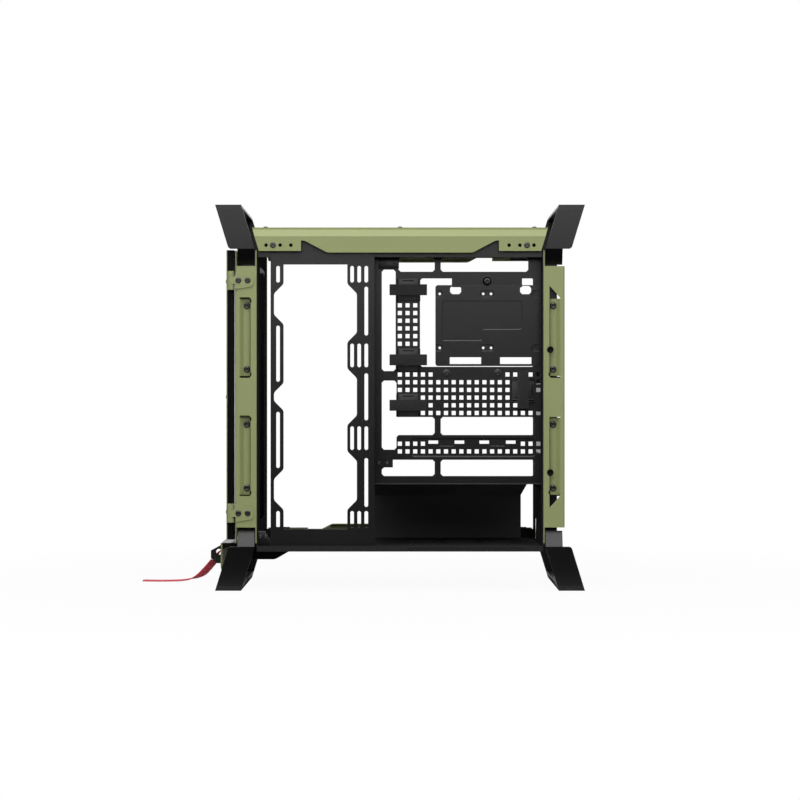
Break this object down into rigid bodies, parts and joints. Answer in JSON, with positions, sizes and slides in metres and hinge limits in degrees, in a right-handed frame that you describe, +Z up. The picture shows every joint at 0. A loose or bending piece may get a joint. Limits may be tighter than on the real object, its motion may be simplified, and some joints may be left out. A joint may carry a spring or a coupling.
{
  "type": "computer case",
  "caption": "Open tower computer case in a leaning roll cage, with hinged mesh front door, cable-side motherboard tray, handles, feet and a webbing tow strap.",
  "frame": {"origin": "on the ground under the middle of the cage", "axes": "+X to the rear of the case, +Y to its left side, +Z up; the right side, seen in the picture, faces -Y"},
  "size_m": [0.6403, 0.2426, 0.5434],
  "materials": {
    "green_paint": "matte",
    "black_paint": "satin",
    "black_mesh": "matte",
    "dark_steel": "satin",
    "black_plastic": "matte",
    "rubber": "matte",
    "hook_and_loop": "matte",
    "red_webbing": "matte"
  },
  "bodies": {
    "case": {"beam_brackets": "black_plastic", "beam_screws": "dark_steel", "bumper_bracket": "black_paint", "button_switches": "black_plastic", "cable_straps": "hook_and_loop", "column_screws": "dark_steel", "drive_plate": "black_paint", "drive_plate_screw": "dark_steel", "floor_pan": "black_paint", "front_bumper": "green_paint", "front_foot_bar": "black_paint", "front_foot_pad": "rubber", "front_frame": "black_paint", "front_handle": "black_paint", "front_left_cage_plate": "black_paint", "front_left_column": "green_paint", "front_right_cage_plate": "black_paint", "front_right_column": "green_paint", "hinge_screws": "dark_steel", "left_sill": "green_paint", "left_top_beam": "green_paint", "lower_column_leaf": "black_paint", "motherboard_tray": "black_paint", "panel_catches": "dark_steel", "psu_shroud": "black_paint", "rear_foot_bar": "black_paint", "rear_foot_pad": "rubber", "rear_handle": "black_paint", "rear_left_cage_plate": "black_paint", "rear_left_column": "green_paint", "rear_panel": "black_paint", "rear_right_cage_plate": "black_paint", "rear_right_column": "green_paint", "right_top_beam": "green_paint", "roof_panel": "black_paint", "side_fan_bracket": "black_paint", "skid_plate": "black_paint", "slot_covers": "black_paint", "slot_ledge": "black_paint", "slot_screws": "dark_steel", "strap_bases": "black_plastic", "top_mesh": "black_mesh", "top_panel": "black_plastic", "top_ports": "black_plastic", "top_studs": "dark_steel", "tow_eye": "black_paint", "tow_strap": "red_webbing", "upper_column_leaf": "black_paint"},
    "front_door": {"door_skin": "green_paint", "door_frame": "black_paint", "door_mesh": "black_mesh", "door_screws": "dark_steel", "upper_door_leaf": "black_paint", "lower_door_leaf": "black_paint", "hinge_pins": "dark_steel"},
    "power_button": {"power_button": "black_plastic"},
    "reset_button": {"reset_button": "black_plastic"},
    "psu_filter": {"psu_filter": "black_plastic"}
  },
  "joints": [
    {"name": "door_hinge", "type": "hinge", "parent": "case", "child": "front_door", "pos_m": [-0.2378, -0.1158, 0.273], "axis": [0, 0, 1], "range_deg": [0, 110]},
    {"name": "power_press", "type": "slide", "parent": "case", "child": "power_button", "axis": [0, 0, -1], "range_m": [0, 0.0014], "stiffness_N_per_m": 500, "springref_m": -0.001},
    {"name": "reset_press", "type": "slide", "parent": "case", "child": "reset_button", "axis": [0, 0, -1], "range_m": [0, 0.0014], "stiffness_N_per_m": 500, "springref_m": -0.001},
    {"name": "filter_slide", "type": "slide", "parent": "case", "child": "psu_filter", "axis": [0, -1, 0], "range_m": [0, 0.17]}
  ]
}
